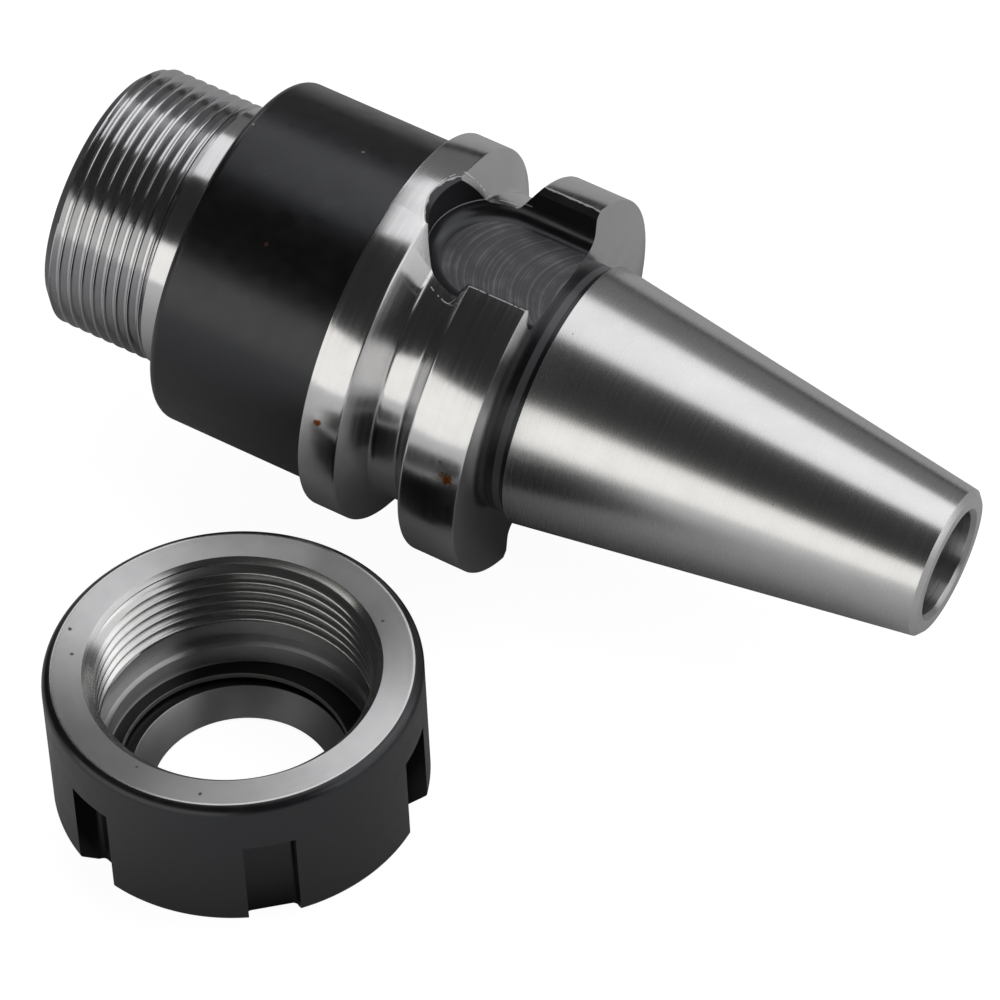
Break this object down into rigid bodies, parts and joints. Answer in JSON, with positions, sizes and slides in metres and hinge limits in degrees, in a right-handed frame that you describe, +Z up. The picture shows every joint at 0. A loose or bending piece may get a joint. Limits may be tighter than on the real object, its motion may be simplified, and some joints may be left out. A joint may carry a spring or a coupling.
{
  "type": "collet chuck holder",
  "caption": "Steep taper collet chuck holder lying on its flange, with its slotted clamping nut unscrewed and standing beside it.",
  "frame": {"origin": "centre of the taper's gauge line, on the arbor's axis", "axes": "+Z up, away from the surface that both pieces rest on, and +X level, below the arbor's axis on the side of the taper's small end by 6.1 degrees, which is how far the arbor tips as it lies on its flange"},
  "size_m": [0.1102, 0.0965, 0.0462],
  "materials": {
    "arbor_steel": "ground bright on taper, flange and nose, black oxide on the body",
    "nut_steel": "black oxide, with a ground rear face and a bright thread"
  },
  "bodies": {
    "root": {"chuck_arbor": "arbor_steel", "clamping_nut": "nut_steel"}
  },
  "joints": []
}
